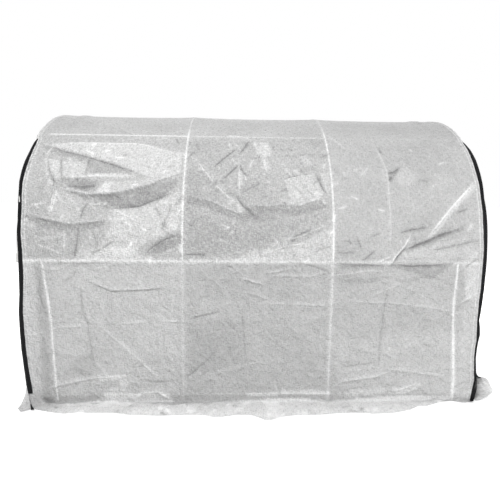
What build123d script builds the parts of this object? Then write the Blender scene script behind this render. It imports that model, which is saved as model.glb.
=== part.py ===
"""Walk-in tunnel greenhouse: a tube frame of four hoops under a film cover with zipped ends.

The origin is on the ground in the middle of the tunnel. X runs along the tunnel, -Y is the front
long wall and Z is up. Every size is in millimetres and every angle in degrees.
"""

import os
from math import degrees

from build123d import *

# Overall sizes
overall_length = 3000.0  # over the two end panels
overall_width = 2100.0  # over the two long walls
overall_height = 2000.0  # from the ground to the top of the film
overrun = 20.0  # how far a cutting shape runs past what it cuts

# Film cover
film_thickness = 2.0
film_clearance = 0.3  # between the film and the fittings that it lies on
skirt_width = 150.0  # film that lies on the ground outside the walls
skirt_corner_gap = 24.0  # from the end of a skirt to the corner of the walls
seam_gap = 0.3  # between the crown film and the end panel that is sewn to it

# Frame tubes and where they stand
round_sides = 8  # sides of each tube and bore, few because there are many of them
socket_sides = 4  # sides of the outside of each socket
tube_diameter = 19.0  # across two flat sides
second_hoop_x = -460.0
third_hoop_x = 504.0
end_leg_inset = 165.0  # from the end panel to the axis of the nearest leg
base_rail_height = 55.0
shoulder_angle = 51.5  # of the shoulder rail, up the arch from the side rail

# Push-fit fittings
socket_clearance = 0.3  # takes up the bend of a hoop's tube in its straight socket
fitting_wall = 2.5
hub_step = 0.6  # how far the block in the middle of a fitting stands out from its sockets
socket_stop = 16.0  # from the middle of a fitting to the floor of a socket
arm_length = 45.0  # from the middle of a fitting to the mouth of a socket
socket_aim_share = 0.83  # of the arm, at which a straight socket crosses the bend of a hoop's tube
seat_gap = 0.3  # between the end of a tube and the floor of its socket
foot_radius = 32.0
foot_plate = 8.0

# Zips and their sliders
tape_width = 30.0
tape_lap = 8.0  # of the tape over the edge of the wall film
tape_thickness = 2.5
coil_width = 7.0
coil_height = 3.0
zip_foot = 14.0  # height of the lower end of a zip
zip_top_gap = 8.0  # from the upper end of a zip to the edge of the crown film
slider_length = 28.0
slider_wall = 2.5
slider_clearance = 0.4
pull_length = 48.0
pull_width = 9.0
pull_thickness = 2.5
pull_corner = 2.5
pull_hole = 2.2  # radius
left_slider_rise = 400.0  # along the arch above the side rail
right_slider_height = 130.0  # above the ground

# Worked out from the sizes above
film_radius = overall_width / 2
film_inner_radius = film_radius - film_thickness
spring_height = overall_height - film_radius
half_length = overall_length / 2
zipped_length = overall_length - 2 * (tape_width - tape_lap)  # of the film between two zips
sewn_length = overall_length - 2 * (film_thickness + seam_gap)  # of the film between two end panels
tube_radius = tube_diameter / 2
bore_radius = tube_radius + socket_clearance
fitting_radius = bore_radius + fitting_wall
hub_half = fitting_radius + hub_step
hoop_radius = film_inner_radius - film_clearance - hub_half
end_hoop_x = half_length - film_thickness - film_clearance - hub_half
end_leg_x = half_length - end_leg_inset
hoop_stations = (-end_hoop_x, second_hoop_x, third_hoop_x, end_hoop_x)
leg_stations = (-end_leg_x, second_hoop_x, third_hoop_x, end_leg_x)
side_stations = sorted({*hoop_stations, *leg_stations})
tube_stop = socket_stop + seat_gap
right_angle = 90.0
arch_axis = Axis((0, 0, spring_height), (-1, 0, 0))
side_point = Vector(0, -hoop_radius, spring_height)  # on the front side rail
inwards = Vector(0, 1, 0)
up = Vector(0, 0, 1)
right = Vector(1, 0, 0)
both_ways = (-right, right)


def arch_degrees(length):
    """The angle that a length along the hoop takes up."""
    return degrees(length / hoop_radius)


def section(radius, sides=round_sides):
    """The section of a tube, bore or socket, measured across its flats, with a flat to the film."""
    return RegularPolygon(radius, sides, major_radius=False, rotation=2 * right_angle / sides)


def straight_bar(radius, centre, direction, start, end, sides=round_sides):
    """A bar along a direction, between two distances from a centre."""
    foot = Plane(centre + direction * start, x_dir=inwards, z_dir=direction)
    return extrude(foot * section(radius, sides), end - start)


def around_arch(profile, start, end):
    """Sweeps a profile that is drawn at the front side rail about the arch, between two angles."""
    return revolve(profile, axis=arch_axis, revolution_arc=end - start).rotate(arch_axis, start)


def hoop_bar(radius, start, end):
    """A bar that follows the hoop between two angles."""
    return around_arch(Plane(side_point, x_dir=inwards, z_dir=up) * section(radius), start, end)


def fitting(centre, directions):
    """A moulded fitting: a block with a socket for each tube."""
    body = Pos(centre) * Box(2 * hub_half, 2 * hub_half, 2 * hub_half)
    for direction in directions:
        body += straight_bar(fitting_radius, centre, direction, 0, arm_length, socket_sides)
    for direction in directions:
        body -= straight_bar(bore_radius, centre, direction, socket_stop, arm_length + overrun)
    return body


def arc_direction(way):
    """The direction of a hoop's tube in its socket at the side rail: +1 up the arch, -1 down it."""
    lean = arch_degrees(socket_aim_share * arm_length) / 2
    return (up * way).rotate(arch_axis, way * lean)


def rail_arms(x, stations):
    """The directions in which rails leave a station: inwards only at the first and the last."""
    if x == stations[0]:
        return both_ways[1:]
    if x == stations[-1]:
        return both_ways[:1]
    return both_ways


def roof_fittings(angle):
    """A fitting on each hoop at an angle of the arch, with arcs below and above it."""
    arcs = (arc_direction(-1), arc_direction(1))
    fittings = [fitting(side_point, (*rail_arms(x, hoop_stations), *arcs)) for x in hoop_stations]
    return [(Pos(x, 0, 0) * piece).rotate(arch_axis, angle) for x, piece in zip(hoop_stations, fittings)]


def side_rail_fittings():
    """Crosses on the middle hoops, elbows at the end hoops, and tees over the inset end legs."""
    fittings = []
    for x in side_stations:
        directions = [*rail_arms(x, side_stations)]
        if x in leg_stations:
            directions.append(-up)
        if x in hoop_stations:
            directions.append(arc_direction(1))
        fittings.append(Pos(x, 0, 0) * fitting(side_point, directions))
    return fittings


def foot_fitting(rails):
    """A foot for a leg and its base rails, with a plate that is cut flat on the film's side."""
    centre = Vector(0, -hoop_radius, base_rail_height)
    ground = Vector(0, -hoop_radius, 0)
    foot = straight_bar(foot_radius, ground, up, 0, foot_plate)
    foot += straight_bar(fitting_radius, ground, up, 0, base_rail_height, socket_sides)
    film_side = Box(
        2 * (foot_radius + overrun),
        2 * foot_radius,
        base_rail_height,
        align=(Align.CENTER, Align.MAX, Align.CENTER),
    )
    foot -= Pos(0, -hoop_radius - hub_half, 0) * film_side
    return foot + fitting(centre, (up, *rails))


def foot_fittings():
    """A foot under each front leg."""
    return [Pos(x, 0, 0) * foot_fitting(rail_arms(x, leg_stations)) for x in leg_stations]


def rail(centre, stations):
    """Tubes in a line along the tunnel, one between each fitting and the next."""
    return [
        Pos(start, 0, 0) * straight_bar(tube_radius, centre, right, tube_stop, end - start - tube_stop)
        for start, end in zip(stations, stations[1:])
    ]


def roof_rail(angle):
    """A rail at an angle of the arch."""
    return [tube.rotate(arch_axis, angle) for tube in rail(side_point, hoop_stations)]


def leg():
    """A straight tube from a foot up to the side rail."""
    ground = Vector(0, -hoop_radius, 0)
    return straight_bar(tube_radius, ground, up, base_rail_height + tube_stop, spring_height - tube_stop)


def hoop_arcs():
    """The four bent tubes of a hoop, between its side, shoulder and ridge fittings."""
    stop = arch_degrees(tube_stop)
    joints = (0, shoulder_angle, right_angle, 2 * right_angle - shoulder_angle, 2 * right_angle)
    return [hoop_bar(tube_radius, low + stop, high - stop) for low, high in zip(joints, joints[1:])]


def wall_film():
    """The flat film of the front wall, from the skirt up to the side rail."""
    size = (zipped_length, film_thickness, spring_height - film_thickness)
    outer_foot = (Align.CENTER, Align.MIN, Align.MIN)
    return Pos(0, -film_radius, film_thickness) * Box(*size, align=outer_foot)


def roof_film(length, start, end):
    """The bent film of the roof between two angles of the arch."""
    middle = Plane((0, -film_radius + film_thickness / 2, spring_height), z_dir=up)
    return around_arch(middle * Rectangle(length, film_thickness), start, end)


def end_panel():
    """The flat arched film that closes the right end."""
    from_foot = (Align.CENTER, Align.MIN)
    outline = Pos(0, spring_height) * Circle(film_radius)
    outline &= Pos(0, spring_height) * Rectangle(overall_width, film_radius, align=from_foot)
    lower = Rectangle(overall_width, spring_height - film_thickness, align=from_foot)
    outline += Pos(0, film_thickness) * lower
    face = Plane((half_length - film_thickness, 0, 0), x_dir=inwards, z_dir=right) * outline
    return extrude(face, film_thickness)


# A zip lies on the outside of the long wall, from the edge of the film to the end panel.
zip_plane = Plane(
    (half_length - tape_width / 2, -film_radius - film_clearance, spring_height),
    x_dir=right,
    z_dir=up,
)


def zip_strip():
    """The zip of the right end's front edge, from near the ground to the shoulder rail."""
    outwards = (Align.CENTER, Align.MAX)
    profile = Rectangle(tape_width, tape_thickness, align=outwards)
    profile += Rectangle(coil_width, tape_thickness + coil_height, align=outwards)
    profile = zip_plane * profile
    straight = extrude(profile, zip_foot - spring_height, dir=up)
    return straight + around_arch(profile, 0, shoulder_angle - degrees(zip_top_gap / film_radius))


def slider():
    """A slider astride the coil of that zip at the side rail, with its pull hanging down."""
    seat = -tape_thickness - slider_clearance
    channel_width = coil_width + 2 * slider_clearance
    height = coil_height + slider_wall
    on_seat = (Align.CENTER, Align.MAX)
    profile = Pos(0, seat) * Rectangle(channel_width + 2 * slider_wall, height, align=on_seat)
    profile -= Pos(0, seat) * Rectangle(channel_width, coil_height, align=on_seat)
    body = extrude(zip_plane * profile, slider_length / 2, both=True)
    pull = Pos(0, pull_width / 2) * Rectangle(pull_width, pull_length, align=on_seat)
    pull = chamfer(pull.vertices(), pull_corner)
    pull -= Pos(0, pull_width - pull_length) * section(pull_hole)
    outer_face = Plane(
        zip_plane.from_local_coords(Vector(0, seat - height, 0)),
        x_dir=right,
        z_dir=-inwards,
    )
    return body + extrude(outer_face * pull, pull_thickness)


def front_skirt():
    """The strip of film that lies on the ground along the front wall."""
    size = (overall_length - 2 * skirt_corner_gap, skirt_width + film_thickness, film_thickness)
    inner_edge = (Align.CENTER, Align.MAX, Align.MIN)
    return Pos(0, -film_inner_radius, 0) * Box(*size, align=inner_edge)


def end_skirt():
    """The strip of film that lies on the ground outside the right end panel."""
    size = (skirt_width + film_thickness, overall_width - 2 * skirt_corner_gap, film_thickness)
    inner_edge = (Align.MIN, Align.CENTER, Align.MIN)
    return Pos(half_length - film_thickness, 0, 0) * Box(*size, align=inner_edge)


def to_rear(shapes):
    """The same pieces on the rear wall."""
    return [mirror(shape, about=Plane.XZ) for shape in shapes]


def to_left(shapes):
    """The same pieces at the left end."""
    return [mirror(shape, about=Plane.YZ) for shape in shapes]


def frame_nodes():
    """Hoops, legs, rails and the fittings that join them."""
    nodes = {}
    for number, x in enumerate(hoop_stations, start=1):
        nodes[f"hoop_{number}_arcs"] = [Pos(x, 0, 0) * arc for arc in hoop_arcs()]
    for number, x in enumerate(leg_stations, start=1):
        front = [Pos(x, 0, 0) * leg()]
        nodes[f"front_leg_{number}"] = front
        nodes[f"rear_leg_{number}"] = to_rear(front)
    front = {
        "base_rail": rail(Vector(0, -hoop_radius, base_rail_height), leg_stations),
        "side_rail": rail(side_point, side_stations),
        "shoulder_rail": roof_rail(shoulder_angle),
        "foot_fittings": foot_fittings(),
        "side_rail_fittings": side_rail_fittings(),
        "shoulder_fittings": roof_fittings(shoulder_angle),
    }
    for name, pieces in front.items():
        nodes["front_" + name] = pieces
        nodes["rear_" + name] = to_rear(pieces)
    nodes["ridge_rail"] = roof_rail(right_angle)
    nodes["ridge_fittings"] = roof_fittings(right_angle)
    return nodes


def cover_nodes():
    """Film panels, skirts, zips and sliders."""
    nodes = {}
    front = {
        "wall_film": [wall_film()],
        "haunch_film": [roof_film(zipped_length, 0, shoulder_angle)],
        "crown_film": [roof_film(sewn_length, shoulder_angle, right_angle)],
        "skirt": [front_skirt()],
    }
    for name, pieces in front.items():
        nodes["front_" + name] = pieces
        nodes["rear_" + name] = to_rear(pieces)
    ends = {"end_panel": [end_panel()], "skirt": [end_skirt()]}
    for name, pieces in ends.items():
        nodes["right_" + name] = pieces
        nodes["left_" + name] = to_left(pieces)
    front_zip = [zip_strip()]
    nodes["right_front_zip"] = front_zip
    nodes["right_rear_zip"] = to_rear(front_zip)
    nodes["left_front_zip"] = to_left(front_zip)
    nodes["left_rear_zip"] = to_left(to_rear(front_zip))
    lowered = [Pos(0, 0, right_slider_height - spring_height) * slider()]
    raised = to_left([slider().rotate(arch_axis, degrees(left_slider_rise / film_radius))])
    nodes["zip_sliders"] = lowered + to_rear(lowered) + raised + to_rear(raised)
    return nodes


os.makedirs("parts", exist_ok=True)
for name, pieces in {**frame_nodes(), **cover_nodes()}.items():
    solids = [solid for piece in pieces for solid in piece.solids()]
    export_step(Compound(solids), f"parts/{name}.step")
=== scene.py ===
"""The looks of a walk-in tunnel greenhouse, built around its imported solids."""

from math import asin, cos, pi, radians, sin

import bmesh
import bpy
import numpy as np
from mathutils import Matrix, Vector


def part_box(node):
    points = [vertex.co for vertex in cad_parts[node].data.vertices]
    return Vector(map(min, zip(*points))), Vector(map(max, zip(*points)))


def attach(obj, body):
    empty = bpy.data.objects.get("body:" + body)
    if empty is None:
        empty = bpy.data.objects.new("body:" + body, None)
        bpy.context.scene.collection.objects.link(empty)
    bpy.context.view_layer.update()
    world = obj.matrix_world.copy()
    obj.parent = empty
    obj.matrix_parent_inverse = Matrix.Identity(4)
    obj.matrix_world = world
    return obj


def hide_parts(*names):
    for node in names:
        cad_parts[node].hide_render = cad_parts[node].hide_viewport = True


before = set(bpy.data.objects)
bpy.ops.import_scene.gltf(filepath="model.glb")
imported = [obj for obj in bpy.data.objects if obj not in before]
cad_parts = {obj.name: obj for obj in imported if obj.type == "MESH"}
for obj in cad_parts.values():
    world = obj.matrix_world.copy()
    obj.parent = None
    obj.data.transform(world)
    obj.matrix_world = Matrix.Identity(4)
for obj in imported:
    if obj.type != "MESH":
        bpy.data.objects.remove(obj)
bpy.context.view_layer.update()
scene = bpy.context.scene
rng = np.random.default_rng(17)

# The viewpoint. The picture is taken from about chest height, some two and a half metres in front
# of the long wall, with the lens turned slightly to the right and tipped down.
photo_side = 500
photo_focal = 400.7  # in the photo's pixels
sensor_width = 36.0  # in millimetres
viewpoint = Vector((-0.113, -3.564, 1.385))
view_yaw = radians(1.86)
view_pitch = radians(8.11)
view_roll = radians(0.68)

view_forward = Vector(
    (sin(view_yaw) * cos(view_pitch), cos(view_yaw) * cos(view_pitch), -sin(view_pitch))
)
level_right = Vector((cos(view_yaw), -sin(view_yaw), 0))
level_up = level_right.cross(view_forward)
view_right = level_right * cos(view_roll) + level_up * sin(view_roll)
view_up = level_up * cos(view_roll) - level_right * sin(view_roll)


def placed(name, data):
    """A new object in the scene."""
    made = bpy.data.objects.new(name, data)
    scene.collection.objects.link(made)
    return made


camera_data = bpy.data.cameras.new("camera")
camera_data.sensor_width = sensor_width
camera_data.lens = photo_focal / photo_side * sensor_width
camera = placed("camera", camera_data)
camera.matrix_world = Matrix.LocRotScale(
    viewpoint,
    Matrix((view_right, view_up, -view_forward)).transposed().to_quaternion(),
    None,
)
scene.camera = camera


def photo_ray(across, down):
    """The direction in which a pixel of the photo looks."""
    middle = photo_side / 2
    return view_forward + (view_right * (across - middle) + view_up * (middle - down)) / photo_focal


# The frame. Bent and straight steel tubes with a white powder coat push into white moulded fittings.
# The coat has a faint orange peel, and its tone and dullness are mottled.
tube_colour = (0.78, 0.78, 0.77, 1)
fitting_colour = (0.70, 0.70, 0.69, 1)


def set_inputs(node, inputs):
    """Sets each input of a shader node to a value, or joins it to another node's output."""
    for label, value in inputs.items():
        if isinstance(value, bpy.types.NodeSocket):
            node.id_data.links.new(value, node.inputs[label])
        else:
            node.inputs[label].default_value = value


def add(tree, kind, inputs, **settings):
    """Adds a shader node with its settings and inputs to a node tree, and gives its outputs."""
    node = tree.nodes.new(f"ShaderNode{kind}")
    for setting, value in settings.items():
        setattr(node, setting, value)
    set_inputs(node, inputs)
    return node.outputs


def new_material(name):
    """A material, its node tree and its shader."""
    material = bpy.data.materials.new(name)
    material.use_nodes = True
    return material, material.node_tree, material.node_tree.nodes["Principled BSDF"]


def new_group(name, inputs, outputs):
    """A node group with named sockets, what it is given, and the node that takes what it makes."""
    group = bpy.data.node_groups.new(name, "ShaderNodeTree")
    for way, sockets in (("INPUT", inputs), ("OUTPUT", outputs)):
        for label, kind in sockets.items():
            group.interface.new_socket(label, in_out=way, socket_type=f"NodeSocket{kind}")
    given = group.nodes.new("NodeGroupInput")
    return group, given.outputs, group.nodes.new("NodeGroupOutput")


def finish_group():
    """For surfaces that are nearly plain: a mottled tone and roughness, and a fine relief."""
    takes = {"Scale": "Float", "Dark": "Color", "Light": "Color"}
    makes = {"Colour": "Color", "Rough": "Float", "Height": "Float"}
    group, given, made = new_group("plain finish", takes, makes)
    place = add(group, "TexCoord", {})["Object"]
    mottle = add(group, "TexNoise", {"Vector": place, "Scale": given["Scale"], "Detail": 4})["Fac"]
    tone = {"Factor": mottle, "A": given["Dark"], "B": given["Light"]}
    colour = add(group, "Mix", tone, data_type="RGBA")["Result"]
    rough = add(group, "MapRange", {"Value": mottle, "To Min": 0.34, "To Max": 0.56})["Result"]
    set_inputs(made, {"Colour": colour, "Rough": rough, "Height": mottle})
    return group


plain_finish = finish_group()
finish_depth = 0.0005


def plain_material(name, colour, scale, bump, metallic=0.0):
    """A coat or moulding of one colour that the shared finish mottles."""
    material, tree, shader = new_material(name)
    mottle = {"Scale": scale, "Dark": [0.9 * c for c in colour[:3]] + [1], "Light": colour}
    finish = add(tree, "Group", mottle, node_tree=plain_finish)
    relief = add(tree, "Bump", {"Strength": bump, "Distance": finish_depth, "Height": finish["Height"]})
    set_inputs(shader, {
        "Base Color": finish["Colour"], "Roughness": finish["Rough"], "Metallic": metallic,
        "Normal": relief["Normal"],
    })
    return material


tube_finish = plain_material("powder coated tube", tube_colour, 260, 0.25)
fitting_finish = plain_material("moulded fitting", fitting_colour, 120, 0.35)
for name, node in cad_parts.items():
    if name.endswith("_fittings"):
        finish = fitting_finish
    elif "_rail" in name or "_leg_" in name or name.endswith("_arcs"):
        finish = tube_finish
    else:
        continue
    node.data.materials.clear()
    node.data.materials.append(finish)

# The long sheet. One length of milky woven film runs from the ground in front, over the hoops and
# down behind, and ends in a skirt that lies on the ground. It is pulled tight over the crown and
# hangs slack below the shoulder rails, with folds between the hoops and creases from its packing.
film_radius = -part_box("front_haunch_film")[0].y
film_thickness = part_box("front_wall_film")[1].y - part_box("front_wall_film")[0].y
spring_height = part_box("front_wall_film")[1].z
half_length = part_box("right_end_panel")[1].x
skirt_width = -film_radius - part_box("front_skirt")[0].y
crown_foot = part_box("front_crown_film")[0].z - spring_height
shoulder_girth = spring_height + film_radius * asin(crown_foot / (film_radius - film_thickness))
ridge_girth = spring_height + film_radius * pi / 2
hoop_x = [sum(v.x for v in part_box(f"hoop_{n}_arcs")) / 2 for n in (1, 2, 3, 4)]
leg_x = [sum(v.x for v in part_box(f"front_leg_{n}")) / 2 for n in (1, 2, 3, 4)]
base_rail_height = sum(v.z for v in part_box("front_base_rail")) / 2
tube_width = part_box("front_base_rail")[1].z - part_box("front_base_rail")[0].z


def smooth(value, low, high):
    """0 below low and 1 above high, with a smooth rise between."""
    t = np.clip((value - low) / (high - low), 0, 1)
    return t * t * (3 - 2 * t)


def girth_point(girth):
    """Depth, height and outward direction of the taut front sheet at a distance up from the ground."""
    angle = np.clip((girth - spring_height) / film_radius, 0, pi / 2)
    depth = -film_radius * np.cos(angle)
    height = np.where(girth < spring_height, girth, spring_height + film_radius * np.sin(angle))
    return depth, height, -np.cos(angle), np.sin(angle)


def on_plane(across, down, axis, level):
    """Where a pixel of the photo meets an upright plane along the tunnel, 1, or a level one, 2."""
    ray = photo_ray(across, down)
    return viewpoint + ray * ((level - viewpoint[axis]) / ray[axis])


def on_film(across, down):
    """Where a pixel of the photo falls on the taut front sheet: along the tunnel, and up its girth."""
    ray = photo_ray(across, down)
    foot = on_plane(across, down, 1, -film_radius)
    if foot.z < spring_height:
        return foot.x, foot.z
    rise = viewpoint.z - spring_height
    a = ray.y**2 + ray.z**2
    b = viewpoint.y * ray.y + rise * ray.z
    c = viewpoint.y**2 + rise**2 - film_radius**2
    foot = viewpoint + ray * ((-b - max(b * b - a * c, 0) ** 0.5) / a)
    return foot.x, spring_height + film_radius * asin(min(1, (foot.z - spring_height) / film_radius))


def on_ground(across, down):
    """Where a pixel of the photo falls on the ground."""
    return on_plane(across, down, 2, 0)[:2]


def along_path(x, girth, path):
    """Distance of each place from a path, positive on its left, and the share of its length passed."""
    path = np.array(path)
    nearest = np.full(x.shape, np.inf)
    signed = np.zeros(x.shape)
    share = np.zeros(x.shape)
    lengths = np.hypot(*np.diff(path, axis=0).T)
    passed = 0.0
    for start, step, length in zip(path, np.diff(path, axis=0), lengths):
        step = step / length
        run = (x - start[0]) * step[0] + (girth - start[1]) * step[1]
        side = (girth - start[1]) * step[0] - (x - start[0]) * step[1]
        held = np.clip(run, 0, length)
        gap = np.hypot(run - held, side)
        closer = gap < nearest
        nearest = np.where(closer, gap, nearest)
        signed = np.where(closer, np.where(side < 0, -gap, gap), signed)
        share = np.where(closer, (passed + held) / lengths.sum(), share)
        passed += length
    return signed, share


def around(x, girth, path, reach):
    """Picks the places within reach of a path's box."""
    low = np.min(path, axis=0) - reach
    high = np.max(path, axis=0) + reach
    return (x > low[0]) & (x < high[0]) & (girth > low[1]) & (girth < high[1])


def fold(x, girth, path, height, left, right, ends=0.25):
    """Relief of one fold along a path: sharp at its crest, falling away to both sides and at its ends."""
    relief = np.zeros(x.shape)
    near = around(x, girth, path, 6 * max(left, right))
    signed, share = along_path(x[near], girth[near], path)
    profile = np.exp(-np.abs(signed) / np.where(signed < 0, right, left))
    relief[near] = height * profile * smooth(share, 0, ends) * smooth(1 - share, 0, ends)
    return relief


def patch(x, girth, corners, soft):
    """1 inside a patch and 0 outside, with a soft edge."""
    tone = np.zeros(x.shape)
    near = around(x, girth, corners, soft)
    px, pg = x[near], girth[near]
    loop = [*corners, corners[0]]
    gap = np.abs(along_path(px, pg, loop)[0])
    inside = np.zeros(px.shape, bool)
    for (ax, ag), (bx, bg) in zip(loop, loop[1:]):
        if ag != bg:
            inside ^= ((ag > pg) != (bg > pg)) & (px < ax + (pg - ag) * (bx - ax) / (bg - ag))
    tone[near] = smooth(np.where(inside, gap, -gap), -soft / 2, soft / 2)
    return tone


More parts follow.
